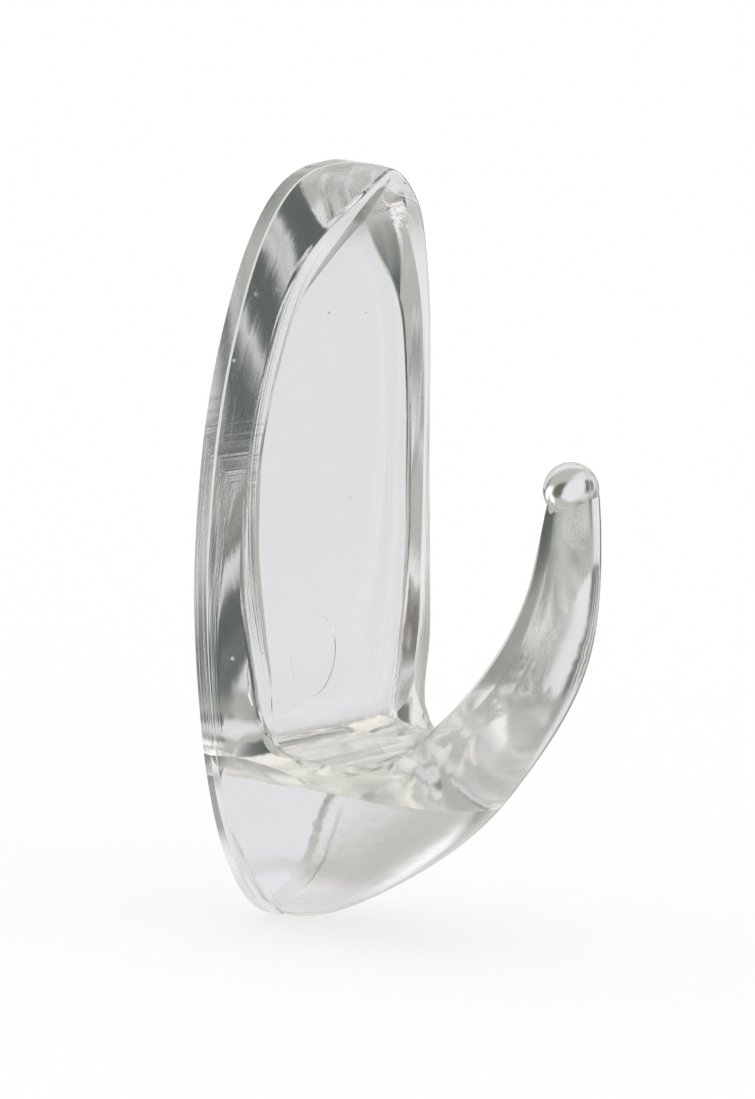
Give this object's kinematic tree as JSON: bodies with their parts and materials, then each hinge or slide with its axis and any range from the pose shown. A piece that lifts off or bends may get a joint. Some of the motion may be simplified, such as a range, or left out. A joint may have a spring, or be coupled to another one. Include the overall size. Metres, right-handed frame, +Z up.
{
  "type": "clear plastic wall hook",
  "caption": "One-piece clear plastic wall hook: a tall egg-shaped back with a raised rim and a J-shaped arm that ends in a ball.",
  "frame": {"origin": "middle of the flat back face, halfway between its top and its bottom tip", "axes": "+Y out of the back face into the wall, the hook's arm towards -Y, +Z up, +X across"},
  "size_m": [0.038, 0.0358, 0.0784],
  "materials": {
    "clear_plastic": "polished clear moulding"
  },
  "bodies": {
    "root": {"hook_body": "clear_plastic"}
  },
  "joints": []
}
